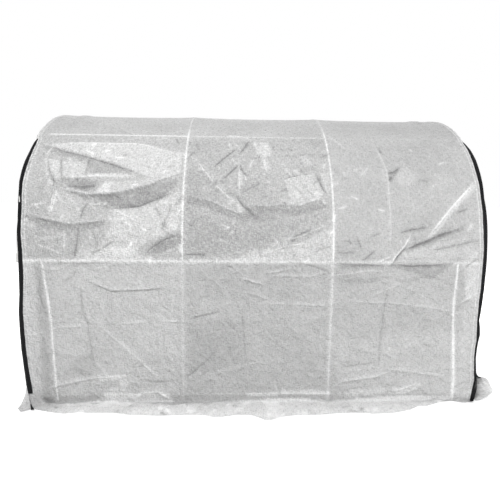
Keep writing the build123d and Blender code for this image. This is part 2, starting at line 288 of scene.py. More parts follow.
# Folds of the front sheet that the photo shows: pixels along each one, its height in millimetres,
# and how far it falls away to the left of its run and to the right, in millimetres.
photo_folds = {
    "left pleat upper edge": (((44, 144), (90, 143), (138, 144), (180, 153)), 7, 6, 26),
    "left pleat shade": (((46, 147), (78, 153), (108, 162), (138, 173)), -9, 18, 10),
    "left pleat lower edge": (((62, 178), (95, 176), (125, 177), (141, 174)), 7, 14, 6),
    "left pleat hollow": (((64, 186), (84, 187), (100, 186)), -8, 14, 14),
    "left swag": (((60, 188), (76, 193), (92, 196), (120, 194), (150, 187), (182, 172)), 30, 60, 9),
    "left swag hollow": (((92, 205), (112, 208), (138, 206), (165, 195), (180, 186)), -10, 26, 26),
    "left first tuck": (((47, 158), (50, 172), (55, 186)), -6, 6, 6),
    "left second tuck": (((61, 156), (60, 170), (62, 186)), -6, 6, 6),
    "left third tuck": (((89, 157), (86, 167), (84, 177)), -6, 6, 6),
    "left crossing crease": (((60, 187), (88, 196), (110, 207), (140, 224)), 7, 6, 6),
    "left upright ridge": (((57, 188), (54, 202), (50, 218)), 9, 6, 8),
    "left upright ridge back": (((54, 190), (51, 204), (48, 218)), 7, 5, 5),
    "left patch edge": (((87, 202), (82, 210), (80, 221)), -6, 6, 6),
    "left patch top": (((86, 203), (94, 205), (102, 203)), 8, 5, 5),
    "left lower swag": (((22, 213), (45, 219), (70, 224), (95, 222), (115, 216)), 16, 34, 9),
    "left first drop": (((63, 228), (64, 240), (63, 252)), 6, 5, 5),
    "left second drop": (((78, 226), (76, 243), (73, 261)), -6, 6, 6),
    "left slant": (((88, 256), (102, 249), (115, 240)), -6, 6, 5),
    "left hoop hollow": (((142, 257), (153, 247), (166, 239), (182, 235)), -14, 14, 22),
    "left low slant": (((33, 243), (48, 249), (66, 256)), 7, 6, 6),
    "left rail pucker": (((30, 237), (50, 239), (64, 236)), 4, 7, 5),
    "left light ripple": (((104, 237), (118, 232), (135, 231)), 4, 8, 6),
    "left light second ripple": (((98, 228), (112, 221), (130, 219)), 4, 9, 6),
    "middle bright slant": (((196, 160.5), (203.5, 170), (210, 178), (216, 185)), 11, 5, 8),
    "middle bright slant foot": (((216, 185), (220, 189.5), (224, 193.5), (232, 201)), 12, 6, 8),
    "middle upright": (((239, 158), (239, 168), (239, 182), (239.5, 197)), 7, 5, 6),
    "middle first cross": (((212, 168), (226, 156), (238, 147)), -6, 5, 5),
    "middle first cross end": (((239, 154), (243, 149), (248, 142)), -6, 5, 5),
    "middle cross light": (((234, 141), (238, 147), (242, 153)), 6, 5, 5),
    "middle second cross": (((222, 180), (230, 172), (240, 163)), -6, 5, 5),
    "middle second cross light": (((231, 158), (236, 162), (240, 165)), 6, 5, 5),
    "middle second cross end": (((238, 162), (243, 170), (248, 178)), -5, 5, 5),
    "middle long rung": (((238, 195), (250, 188), (264, 181)), -4, 5, 5),
    "middle left fold": (((183, 194), (198, 199), (212, 202), (222, 207), (236, 213),
        (250, 217)), 16, 40, 10),
    "middle right fold": (((238, 206), (254, 206), (268, 206.5), (284, 205), (300, 206.5), (308, 203),
        (322, 200), (334, 197)), 16, 40, 9),
    "middle tail": (((234, 193), (243, 206), (252, 214), (261, 221)), -6, 5, 5),
    "middle right crease": (((281, 181), (292, 178), (302, 176), (318, 175)), 7, 5, 8),
    "middle right crease shade": (((284, 178), (296, 175.5), (310, 174)), -4, 5, 5),
    "middle right turn": (((315, 173), (319, 180), (322, 187), (326, 195)), -6, 5, 5),
    "middle top fold": (((222, 136), (240, 137), (256, 142)), 5, 6, 6),
    "middle rung": (((206, 156), (222, 156), (246, 156)), -2, 5, 5),
    "middle right rung": (((268, 155.5), (298, 155), (330, 154)), -2, 5, 5),
    "middle curl": (((264, 157), (265, 168), (272, 177)), 5, 6, 6),
    "middle second curl": (((282, 160), (287, 170), (292, 176)), 5, 5, 5),
    "middle third curl": (((294, 166), (298, 172), (304, 178)), 4, 5, 5),
    "middle brow": (((293, 155), (300, 159), (306, 166)), -3, 5, 5),
    "middle hatch one": (((292, 182), (300, 192), (308, 203)), -3, 5, 5),
    "middle hatch two": (((300, 181), (308, 190), (316, 199)), -3, 5, 5),
    "middle hatch three": (((304, 192), (310, 186), (318, 180)), 3, 5, 5),
    "middle foot streak": (((263, 256), (270, 249), (279, 242)), 6, 7, 6),
    "middle low slant": (((280, 241), (300, 237), (316, 230), (334, 222)), 7, 12, 10),
    "middle low slant shade": (((290, 239), (302, 234), (314, 229)), -6, 5, 5),
    "middle low third slant": (((276, 238), (283, 233), (290, 227)), 5, 5, 5),
    "middle low second slant": (((268, 253), (284, 247), (310, 243)), 5, 9, 9),
    "middle low corner": (((312, 256), (320, 250), (332, 247)), -4, 6, 6),
    "middle rail dashes": (((183, 255), (192, 255), (204, 255)), -5, 5, 5),
    "right rail dashes": (((334, 253), (344, 253.5), (358, 253)), -5, 5, 5),
    "right upright": (((370, 139), (380, 155), (387, 170), (390, 205), (391, 240), (389, 258)), 5, 5, 5),
    "right top streak": (((326, 135), (336, 142), (348, 151)), 4, 6, 6),
    "right dent": (((388, 172), (394, 171), (401, 166)), -7, 11, 9),
    "right dent below": (((389, 180), (393, 176)), -6, 9, 9),
    "right strap": (((426, 239), (436, 227), (451, 208), (474, 183)), 12, 7, 11),
    "right strap tail": (((386, 270), (396, 256), (405, 246), (413, 231)), 11, 5, 6),
    "right strap tail shade": (((390, 268), (399, 256), (408, 246)), -6, 5, 5),
    "right second strap": (((404, 251), (425, 243), (445, 234), (462, 229)), -8, 6, 7),
    "right corner crease": (((428, 251), (444, 249), (464, 244), (484, 240)), -5, 5, 6),
    "right fine crease": (((397, 234), (412, 230), (432, 227)), -6, 5, 5),
    "right rail shade": (((334, 263), (350, 265), (378, 266), (392, 263)), -6, 7, 11),
    "right rail pucker": (((376, 264), (386, 259), (392, 258)), 6, 6, 6),
    "right low rail shade": (((392, 265), (412, 267), (440, 265), (456, 262)), -7, 7, 16),
    "lower left rail line": (((44, 262), (70, 264), (100, 263), (118, 261)), -4, 5, 5),
    "lower left cuff": (((44, 269), (58, 270), (75, 262)), 4, 5, 5),
    "lower left knee": (((62, 284), (72, 277), (76, 270)), -4, 5, 5),
    "lower left step": (((80, 278), (95, 284), (110, 291), (140, 290), (168, 288)), 5, 7, 5),
    "lower left step shade": (((84, 281.5), (95, 286), (110, 292.5), (140, 291.5), (172, 289)), -5, 5, 5),
    "lower left brace": (((92, 270), (106, 267), (116, 263)), 4, 5, 5),
    "lower left slant": (((94, 322), (118, 343), (140, 362), (166, 386)), 6, 8, 8),
    "lower left band": (((55, 328.5), (70, 327.5), (86, 326)), 5, 6, 6),
    "lower left second band": (((116, 325), (134, 323.5), (152, 322)), 5, 6, 6),
    "lower left dip": (((152, 312), (162, 321.5), (182, 322)), 6, 5, 5),
    "lower middle dip": (((185, 321), (203, 316.5), (224, 312)), -6, 5, 5),
    "lower left drop": (((79, 278), (81, 312), (86, 324), (93.5, 370)), -5, 5, 5),
    "lower left edge": (((34.5, 283), (41, 301), (49, 322)), -6, 6, 6),
    "lower left hem": (((26, 337), (36, 335), (46, 332)), 4, 5, 5),
    "lower left foot": (((40, 393), (60, 385), (80, 381), (98, 378), (126, 376)), 8, 12, 8),
    "lower left bulge": (((102, 392), (118, 390), (130, 392)), 7, 10, 8),
    "lower left second bulge": (((132, 403), (142, 393), (158, 392), (176, 402)), 9, 9, 14),
    "lower left knot": (((140, 378), (150, 383), (165, 383), (180, 380)), -4, 6, 6),
    "lower middle crease": (((182, 382), (192, 374), (205, 363), (218, 350)), -4, 5, 5),
    "lower middle upright": (((241, 311), (243, 330), (245, 350), (246, 365)), -4, 5, 5),
    "lower middle rail slant": (((218, 262), (232, 266), (246, 279), (262, 286)), 4, 5, 5),
    "lower middle rail second": (((264, 274), (278, 272), (292, 268)), 7, 5, 5),
    "lower middle rail third": (((264, 277), (284, 276), (310, 277), (325, 274)), 6, 5, 5),
    "lower middle rail fourth": (((288, 262), (304, 264), (322, 270), (333, 275)), -6, 5, 5),
    "lower middle comb": (((240, 278), (252, 282), (266, 286)), 7, 5, 5),
    "lower middle second comb": (((238, 292), (252, 294), (262, 298), (272, 302)), 6, 5, 5),
    "lower middle line": (((260, 304), (296, 305), (329, 306)), 4, 5, 5),
    "lower middle low": (((200, 378), (230, 370), (255, 364), (275, 362)), 3, 6, 6),
    "lower middle tuck": (((273, 384), (277, 390), (280, 398)), 5, 5, 5),
    "lower right line": (((343, 301), (365, 303), (385, 303), (415, 306), (440, 310),
        (476, 316)), 5, 6, 6),
    "lower right rail crease": (((333, 276), (350, 274), (366, 272), (386, 271)), 4, 5, 7),
    "lower right upright": (((391, 278), (385, 305), (380, 347), (378.5, 373)), -5, 5, 5),
    "lower right cross": (((369, 298), (388, 290), (404, 283)), 4, 5, 5),
    "lower right mid crease": (((391, 281), (410, 283), (422, 278), (450, 281)), -4, 6, 6),
    "lower right foot": (((333, 387), (345, 381), (375, 377), (392, 372)), 8, 10, 8),
    "lower right wedge": (((385, 392), (400, 389), (421, 382)), 9, 9, 12),
    "lower right rung": (((336, 369), (356, 366.5), (377, 363.5)), -5, 5, 5),
    "lower right brow": (((382, 368.5), (414, 373), (450, 377.5)), 6, 8, 8),
    "lower right cuff": (((454, 388), (464, 383), (474, 383)), -4, 6, 6),
    "right edge fan": (((456, 305.5), (467, 300), (478, 291)), 7, 6, 6),
    "right edge second fan": (((460, 299), (470, 286), (479, 270)), 6, 6, 6),
}
# Painted light and shade on the front sheet: patches painted lighter as highlights on pleats, the haunch
# and the rails, and darker as shade under swags, in hollows, beside tubes and over whole bays: pixels
# round each one, its tone, and how soft its edge is, in millimetres.
painted_light_patches = {
    "left pleat light": (((44, 144), (92, 143), (138, 143), (160, 149), (181, 153), (181, 168),
        (150, 178), (139, 173), (117, 163), (92, 156), (69, 150)), 0.42, 9),
    "left pleat brighter": (((48, 145), (92, 143), (112, 143), (112, 158), (92, 155),
        (69, 150)), 0.06, 9),
    "left pleat dark": (((43, 145), (69, 151), (92, 157), (117, 164), (133, 170), (139, 174),
        (137, 177), (120, 173), (90, 172), (88, 162), (75, 157), (60, 156), (46, 150)), -0.32, 8),
    "left tuck light": (((86, 173), (100, 172), (125, 172), (136, 176), (125, 177), (88, 177)), 0.35, 7),
    "left tucks light": (((44, 158), (60, 160), (88, 163), (84, 177), (64, 177), (56, 178), (51, 185),
        (46, 180)), 0.42, 9),
    "left hollow dark": (((63, 178), (84, 178), (98, 181), (95, 188), (88, 194), (76, 188),
        (66, 185)), -0.42, 9),
    "left hollow core": (((76, 182), (86, 182), (92, 187), (88, 193), (80, 189)), -0.20, 9),
    "left apron light": (((104, 182), (140, 181), (181, 168), (180, 173), (150, 186), (115, 194),
        (97, 194)), 0.30, 8),
    "left apron brighter": (((105, 181), (112, 182), (110, 194), (95, 195), (101, 189)), 0.42, 8),
    "left swag dark": (((88, 196), (120, 196), (150, 189), (178, 178), (176, 186), (160, 197),
        (135, 207), (105, 206)), -0.55, 9),
    "left field light": (((112, 209), (150, 204), (180, 190), (181, 230), (150, 240), (130, 256),
        (95, 256), (110, 225)), 0.42, 40),
    "left patch light": (((58, 190), (82, 195), (80, 220), (58, 220)), 0.18, 10),
    "left lower dark": (((22, 215), (50, 221), (75, 226), (110, 219), (112, 223), (80, 232),
        (45, 229)), -0.38, 12),
    "left hoop dark": (((146, 256), (158, 244), (182, 236), (181, 243), (165, 252)), -0.55, 9),
    "left rail light": (((80, 260), (86, 248), (130, 248), (150, 260)), 0.35, 14),
    "middle fold dark": (((187, 197), (207, 203), (222, 209), (236, 215), (247, 209), (268, 208.5),
        (300, 208.5), (322, 203), (329, 206), (310, 213), (286, 217), (262, 222), (245, 222),
        (222, 214), (202, 206), (187, 204)), -0.40, 9),
    "middle corner light": (((256, 143), (308, 143), (326, 165), (329, 196), (300, 203), (285, 180),
        (262, 170)), 0.12, 60),
    "middle top light": (((254, 142), (268, 142), (272, 155), (262, 157), (256, 153)), 0.42, 14),
    "middle curl light": (((262, 157), (267, 157), (269, 168), (266, 170)), 0.35, 8),
    "middle brow light": (((296, 156), (306, 155), (312, 164), (305, 166)), 0.32, 10),
    "middle panel light": (((285, 181), (302, 177), (316, 176), (324, 192), (322, 199), (304, 205),
        (290, 204), (288, 190)), 0.34, 9),
    "middle edge light": (((320, 174), (329, 172), (331, 197), (326, 192)), 0.3, 8),
    "middle knot light": (((236, 198), (242, 206), (246, 212), (238, 213)), 0.5, 7),
    "middle upright light": (((239, 166), (243, 176), (241, 184), (239, 190)), 0.4, 7),
    "middle left dark": (((190, 166), (205, 174), (228, 201), (210, 203), (188, 196)), -0.20, 30),
    "middle rail light": (((236, 260), (250, 250), (290, 248), (333, 226), (334, 260)), 0.42, 18),
    "middle under fold dark": (((188, 210), (225, 222), (300, 222), (280, 240), (230, 252),
        (190, 250)), -0.16, 70),
    "right rail dark": (((386, 266), (414, 273), (434, 279), (455, 263), (420, 262),
        (395, 262)), -0.45, 9),
    "right under rail dark": (((336, 262), (384, 265), (384, 270), (340, 269)), -0.30, 8),
    "right lower rail dark": (((335, 277), (362, 278), (390, 276), (372, 284), (340, 284)), -0.32, 12),
    "right strap light": (((428, 237), (451, 208), (473, 182), (476, 188), (455, 211),
        (432, 239)), 0.45, 7),
    "right strap dark": (((404, 251), (420, 243), (440, 235), (463, 227), (464, 230.5), (445, 238),
        (425, 246), (408, 253)), -0.45, 6),
    "right blob light": (((398, 172), (408, 164), (417, 172), (412, 185), (398, 184)), 0.2, 24),
    "right second blob light": (((436, 174), (448, 172), (457, 184), (440, 190)), 0.16, 30),
    "right foot light": (((398, 258), (406, 250), (430, 246), (470, 236), (478, 258)), 0.22, 18),
    "right dent dark": (((388, 172), (396, 170), (400, 167), (396, 176), (391, 181)), -0.50, 9),
    "right edge light": (((463, 262), (478, 250), (476, 300), (466, 300)), 0.25, 20),
    "lower left foot dark": (((60, 378), (72, 362), (94, 352), (95, 376)), -0.22, 24),
    "lower left bulge light": (((104, 393), (118, 391), (135, 394), (150, 393), (165, 394), (175, 403),
        (140, 405), (106, 403)), 0.55, 10),
    "lower left shelf light": (((98, 378), (125, 375), (126, 378), (100, 382)), 0.5, 7),
    "lower left corner dark": (((42, 396), (52, 399), (58, 406), (46, 404)), -0.7, 10),
    "lower left knot light": (((119, 380), (124, 379), (129, 383), (127, 387), (120, 386)), 0.4, 7),
    "lower middle rail dark": (((186, 265), (329, 265), (329, 300), (186, 300)), -0.10, 40),
    "lower middle base light": (((248, 392.5), (278, 392.5), (278, 397), (248, 397)), 0.5, 6),
    "lower middle second base light": (((281, 389), (330, 391.5), (330, 395), (281, 394)), 0.5, 6),
    "lower middle dark": (((188, 326), (225, 318), (240, 330), (242, 366), (205, 372),
        (188, 376)), -0.16, 50),
    "lower right foot light": (((386, 393), (402, 388), (421, 383), (418, 389), (400, 395)), 0.45, 9),
    "lower right base light": (((345, 391), (385, 388), (385, 394), (345, 398)), 0.25, 10),
    "left bay dark": (((42, 141), (181, 141), (181, 257), (24, 257)), -0.05, 60),
    "middle bay dark": (((188, 140), (329, 140), (331, 257), (184, 257)), -0.19, 80),
    "right bay dark": (((334, 140), (430, 140), (470, 200), (470, 255), (335, 257)), -0.08, 80),
    "lower left bay light": (((46, 266), (180, 266), (180, 395), (58, 395)), 0.20, 80),
    "lower right bay light": (((336, 340), (470, 330), (470, 396), (336, 396)), 0.16, 80),
    "skirt left light": (((60, 408), (100, 402), (135, 404), (135, 412), (85, 412)), 0.25, 12),
    "skirt point light": (((262, 404), (276, 402), (282, 416), (268, 419)), 0.5, 8),
}
millimetre = 0.001
fold_gain = 1.5  # all folds stand this many times as high as they were read
# A fold's line is painted lighter, partly real whitening and partly a painted highlight, or darker as
# painted shade where sunk.
broad_fold = 12  # in millimetres as read; a higher fold is rounded, and whitens less for its height
broad_tone = 0.45
raised_tone = 0.11  # for each millimetre of height
sunk_tone = 0.17
deepest_tone = -6


def fold_relief(x, girth, folds, place):
    """The relief of named folds, added up; place says where a fold's points are on the sheet."""
    relief = np.zeros(x.shape)
    for points, height, left, right in folds.values():
        path = [place(*point) for point in points]
        falls = (left * millimetre, right * millimetre)
        relief += fold(x, girth, path, fold_gain * height * millimetre, *falls)
    return relief


def crease_tone(height):
    """Whitening and painted highlight along a raised fold of this height, or painted shade along a sunk
    one.
    """
    if height > broad_fold:
        return broad_tone
    return raised_tone * height if height > 0 else sunk_tone * max(height, deepest_tone)


def fold_tone(x, girth, folds, patches, place, width, strength):
    """The painted light and shade of the patches, and the whitening, painted highlight or painted shade
    along each crease.
    """
    tone = np.zeros(x.shape)
    falls = (width * millimetre, width * millimetre)
    for points, height, left, right in folds.values():
        path = [place(*point) for point in points]
        tone += strength * fold(x, girth, path, crease_tone(height), *falls)
    for points, shade, soft in patches.values():
        tone += shade * patch(x, girth, [place(*point) for point in points], soft * millimetre)
    return tone


def random_creases(count, length, low, high):
    """Short straight creases at random places, some raised and some sunk, as a path and a strength."""
    creases = []
    for _ in range(count):
        middle = np.array((rng.uniform(-half_length, half_length), rng.uniform(low, high)))
        turn = rng.uniform(0, pi)
        reach = np.array((cos(turn), sin(turn))) * length * rng.uniform(0.4, 1.2) / 2
        strength = rng.uniform(0.4, 1) * rng.choice((-1, 1))
        creases.append(((middle - reach, middle + reach), strength))
    return creases


def crease_marks(x, girth, creases, height, width):
    """Random creases as relief, or as painted light and shade, in the unit that the height is given in.
    """
    marks = np.zeros(x.shape)
    for path, strength in creases:
        marks += fold(x, girth, path, height * strength, width, width, 0.3)
    return marks


def bay_sag(x, girth):
    """How far the film hangs in between hoops and rails, as a share of its deepest."""
    hang = np.zeros(x.shape)
    rails = (base_rail_height, spring_height, shoulder_girth, ridge_girth)
    for low, high in zip(rails, rails[1:]):
        for left, right in zip(hoop_x, hoop_x[1:]):
            across = np.clip((x - left) / (right - left), 0, 1)
            up = np.clip((girth - low) / (high - low), 0, 1)
            hang += (4 * across * (1 - across)) ** 0.7 * (4 * up * (1 - up)) ** 0.7
    return hang


# Pixels along the light line of each end leg, which leans in towards its foot.
leg_pixels = {
    "left": ((42, 261), (45, 284), (48, 301), (51, 326), (53, 353), (56, 385), (58.5, 402)),
    "right": ((459, 252), (457, 277), (454, 302), (453, 326), (453.5, 380), (452, 394)),
}
leg_paths = {side: [on_film(*pixel) for pixel in pixels] for side, pixels in leg_pixels.items()}


def leg_line(side, girth):
    """How far along the tunnel an end leg shows at each girth."""
    leg_along, leg_up = np.array(leg_paths[side][::-1]).T
    return np.interp(girth, leg_up, leg_along)


# Pixels along the line where the wall turns into its skirt, uneven because the film is creased.
foot_pixels = (
    (30, 406), (59, 407), (76, 404), (99, 399), (132, 403), (174, 408), (190, 405), (205, 403),
    (247, 400), (275, 397), (306, 397.5), (328, 401), (362, 397), (401, 394), (450, 395), (473, 400),
)
foot_x, foot_girth = np.array([on_film(*pixel) for pixel in foot_pixels]).T


def on_tube(x, girth):
    """1 where a tube is close behind the film, which can't sink in there."""
    gaps = [np.abs(x - station) for station in hoop_x + leg_x]
    gaps += [np.abs(girth - station) for station in (base_rail_height, spring_height, shoulder_girth)]
    return smooth(-np.min(gaps, axis=0), -1.6 * tube_width, -0.7 * tube_width)


# Painted light where a tube shows through the film: how much lighter it is painted on the hoops and the
# inner legs from left to right, on the end legs with how much wider the line gets low down, and on the
# rails in the left, middle and right bay.
hoop_tones = (0.2, 0.95, 0.95, 0.2)
inner_leg_tones = (0.3, 0.55)
end_leg_tones = {"left": (0.9, 0.0), "right": (1.0, 0.7)}
base_rail_tones = (0.15, 0.35, 0.15)
side_rail_tones = (0.8, 0.7, 0.5)
shoulder_rail_tones = (1.0, 0.5, 0.12)
ridge_rail_tones = (0.3, 0.3, 0.3)


def painted_light_and_shade(x, girth):
    """Painted light where a tube shows through the film, near the ends and on the skirt, less painted
    shade at the foot.
    """

    def line(distance, strength, reach):
        return strength * np.exp(-((distance / reach) ** 2))

    def in_bays(left, middle, right):
        """A strength that differs from bay to bay."""
        return np.where(x < hoop_x[1], left, np.where(x < hoop_x[2], middle, right))

    inside = half_length - np.abs(x)
    above = smooth(girth, spring_height - 0.02, spring_height + 0.02)
    taut = smooth(girth, shoulder_girth, shoulder_girth + 0.15)
    thin = 0.36 * tube_width
    broad = 0.6 * tube_width
    tone = np.zeros(x.shape)
    for station, strength in zip(hoop_x, hoop_tones):
        tone = np.maximum(tone, line(x - station, strength, thin) * above * (1 - 0.5 * taut))
    below = (1 - above) * smooth(girth, 0.0, 0.03)
    for station, strength in zip(leg_x[1:3], inner_leg_tones):
        tone = np.maximum(tone, line(x - station, strength, broad) * below)
    # Painted shade in a band just right of the third leg.
    tone -= line(x - leg_x[2] - 1.2 * tube_width, 0.2, tube_width) * below
    low = smooth(0.6 - girth, 0.0, 0.3)
    for side, (strength, widening) in end_leg_tones.items():
        reach = thin * (1 + widening * low)
        tone = np.maximum(tone, line(x - leg_line(side, girth), strength, reach) * below)
    rails = (
        (base_rail_height, in_bays(*base_rail_tones), thin),
        (spring_height, in_bays(*side_rail_tones), broad),
        (shoulder_girth, in_bays(*shoulder_rail_tones) * smooth(inside, 0.06, 0.09), thin),
        (ridge_girth, in_bays(*ridge_rail_tones), thin),
    )
    for station, strength, reach in rails:
        tone = np.maximum(tone, line(girth - station, strength, reach))
    # Painted light on the low strips near both ends, stronger at the left.
    beyond = smooth(np.abs(x), half_length - 0.13, half_length - 0.10) * (1 - above)
    tone += beyond * np.where(x > 0, 0.15, 0.3)
    # Painted light on the skirt below the wall's foot, and a thin line of painted shade along the foot.
    pale = 0.25 + 0.55 * smooth(inside, 0.12, 0.3)
    under = np.interp(x, foot_x, foot_girth) - girth
    shaded = line(under, 0.4, 0.25 * tube_width) * smooth(inside, 0.05, 0.2)
    return np.maximum(tone, pale * smooth(under, 0.0, 0.016)) - shaded


def grid_faces(rows, columns):
    """Four-sided faces of a grid of points that are stored row by row."""
    index = np.arange(rows * columns).reshape(rows, columns)
    corners = (index[:-1, :-1], index[:-1, 1:], index[1:, 1:], index[1:, :-1])
    return np.stack(corners, axis=-1).reshape(-1, 4)


def flat_mesh(name, across, up, creases):
    """A flat net with a place at each across and up, made three times finer along the creases."""
    mesh = bpy.data.meshes.new(name)
    grid = np.stack((*np.meshgrid(across, up), np.zeros((len(up), len(across)))), axis=-1)
    mesh.from_pydata(grid.reshape(-1, 3), [], grid_faces(len(up), len(across)))
    middles = np.empty(3 * len(mesh.polygons))
    mesh.polygons.foreach_get("center", middles)
    mx, mg = middles[0::3].copy(), middles[1::3].copy()
    chosen = np.zeros(len(mx), bool)
    for path in creases:
        near = np.flatnonzero(around(mx, mg, path, fine_reach))
        gap = np.abs(along_path(mx[near], mg[near], path)[0])
        chosen[near[gap < fine_reach]] = True
    net = bmesh.new()
    net.from_mesh(mesh)
    net.faces.ensure_lookup_table()
    edges = {edge for index in np.flatnonzero(chosen) for edge in net.faces[index].edges}
    bmesh.ops.subdivide_edges(net, edges=list(edges), cuts=2, use_grid_fill=True)
    net.to_mesh(mesh)
    net.free()
    places = np.empty(3 * len(mesh.vertices))
    mesh.vertices.foreach_get("co", places)
    return mesh, places[0::3].copy(), places[1::3].copy()


def sheet_object(mesh, points, flat, tone, material):
    """Gives a flat net its shape in space, and keeps each place's flat position and tone for the film."""
    mesh.vertices.foreach_set("co", points.astype(np.float32).ravel())
    layer = mesh.uv_layers.new(name="flat")
    corner_vertex = np.zeros(len(mesh.loops), np.int32)
    mesh.loops.foreach_get("vertex_index", corner_vertex)
    layer.data.foreach_set("uv", flat[corner_vertex].astype(np.float32).ravel())
    mesh.attributes.new("tone", "FLOAT", "POINT").data.foreach_set("value", tone.astype(np.float32))
    mesh.shade_smooth()
    mesh.materials.append(material)
    mesh.update()
    return placed(mesh.name, mesh)


def weave_group():
    """Flat tapes woven over and under, with the fine hatching and small crinkles of such film."""
    makes = dict.fromkeys(("Weave", "Hatch", "Crinkle", "Facet", "Cloud"), "Float")
    group, given, made = new_group("woven film", {"Flat": "Vector"}, makes)
    flat = given["Flat"]

    def joined(operation, values):
        """One value from two."""
        return add(group, "Math", dict(enumerate(values)), operation=operation)["Value"]

    def noise(scale, detail, stretch=1, turn=0, more=None, kind="FBM"):
        """Noise over the flat sheet, which may be drawn out along a way that is turned from the weave."""
        draw = {"Vector": flat, "Scale": (1, stretch, 1), "Rotation": (0, 0, turn)}
        drawn = add(group, "Mapping", draw, vector_type="TEXTURE")["Vector"]
        inputs = {"Vector": drawn, "Scale": scale, "Detail": detail, **(more or {})}
        return add(group, "TexNoise", inputs, noise_type=kind)

    wave = {"Vector": flat, "Scale": 95, "Distortion": 1.2, "Detail": 1}
    tapes = [add(group, "TexWave", wave, bands_direction=way)["Fac"] for way in ("X", "Y")]
    threads = [noise(140, 2, 3.5, radians(turn))["Fac"] for turn in (-8, 78)]
    ridges = {"Offset": 1.0, "Gain": 1.5, "Distortion": 0.3}
    crinkle = noise(9, 4, more=ridges, kind="RIDGED_MULTIFRACTAL")["Fac"]
    bend = {0: noise(11, 2)["Color"], 1: (0.05, 0.05, 0), 2: flat}
    bent = add(group, "VectorMath", bend, operation="MULTIPLY_ADD")["Vector"]
    cells = {"Vector": bent, "Scale": 17, "Detail": 1.5, "Roughness": 0.7}
    facet = add(group, "TexVoronoi", cells, feature="DISTANCE_TO_EDGE")["Distance"]
    set_inputs(made, {
        "Weave": joined("MAXIMUM", tapes), "Hatch": joined("MULTIPLY", threads), "Crinkle": crinkle,
        "Facet": facet, "Cloud": noise(4, 5)["Fac"],
    })
    return group


film_weave = weave_group()
film_thin = (0.45, 0.45, 0.45, 1)
film_thick = (0.55, 0.55, 0.55, 1)
# Towards film_white the tone paints light, besides the real whitening of hems and creases; towards
# film_dark it paints shade, and the weave's grain darkens.
film_white = (0.92, 0.92, 0.92, 1)
film_dark = (0.20, 0.20, 0.20, 1)


def film_material():
    """Milky film with a soft gloss, whiter where double, and painted lighter or darker by its tone as
    painted light and shade.
    """
    material, tree, shader = new_material("woven film")
    flat = add(tree, "UVMap", {}, uv_map="flat")["UV"]
    weave = add(tree, "Group", {"Flat": flat}, node_tree=film_weave)
    tone = add(tree, "Attribute", {}, attribute_name="tone")["Fac"]

    def ranged(value, low, high, to_low, to_high):
        """A value carried from one range to another, and held inside it."""
        limits = {"From Min": low, "From Max": high, "To Min": to_low, "To Max": to_high}
        return add(tree, "MapRange", {"Value": value, **limits})["Result"]

    def mixed(factor, first, second):
        """A colour between two, of which the first may come from another mix."""
        return add(tree, "Mix", {"Factor": factor, "A": first, "B": second}, data_type="RGBA")["Result"]

    def times(first, second):
        """The product of two values."""
        return add(tree, "Math", {0: first, 1: second}, operation="MULTIPLY")["Value"]

    colour = mixed(ranged(weave["Cloud"], 0.25, 0.75, 0, 1), film_thin, film_thick)
    # Painted light towards white and painted shade towards dark, as the tone attribute says.
    colour = mixed(ranged(tone, 0, 1, 0, 1), colour, film_white)
    colour = mixed(ranged(tone, 0, -1, 0, 1), colour, film_dark)
    up = add(tree, "SeparateXYZ", {"Vector": flat})["Y"]
    along = add(tree, "SeparateXYZ", {"Vector": add(tree, "TexCoord", {})["Object"]})["X"]
    above_rail = ranged(up, spring_height - 0.03, spring_height + 0.03, 0, 1)
    tight = ranged(up, shoulder_girth - 0.05, shoulder_girth + 0.08, 1, 0.45)
    smoother = ranged(along, hoop_x[2] - 0.05, hoop_x[2] + 0.05, 1, 0.15)
    slack = times(above_rail, times(tight, smoother))
    grain = times(ranged(weave["Hatch"], 0.14, 0.36, 0.38, 0), ranged(tone, 0.7, 1.2, 1.0, 0.3))
    colour = mixed(times(grain, ranged(slack, 0, 1, 1.0, 1.25)), colour, film_dark)
    specks = times(ranged(weave["Hatch"], 0.24, 0.42, 0, 0.22), slack)
    colour = mixed(specks, colour, film_white)
    strokes = ranged(weave["Facet"], 0.0, 0.06, 0.10, 0)
    colour = mixed(strokes, colour, film_white)
    relief = {}
    for mark, depth in (("Crinkle", 0.005), ("Facet", 0.008), ("Hatch", 0.013), ("Weave", 0.0003)):
        bump = add(tree, "Bump", {"Distance": depth, "Height": weave[mark], **relief})
        relief = {"Normal": bump["Normal"]}
    rough = ranged(weave["Hatch"], 0.1, 0.4, 0.24, 0.40)
    set_inputs(shader, {"Base Color": colour, "Roughness": rough, "Specular IOR Level": 0.5, **relief})
    return material


film_finish = film_material()

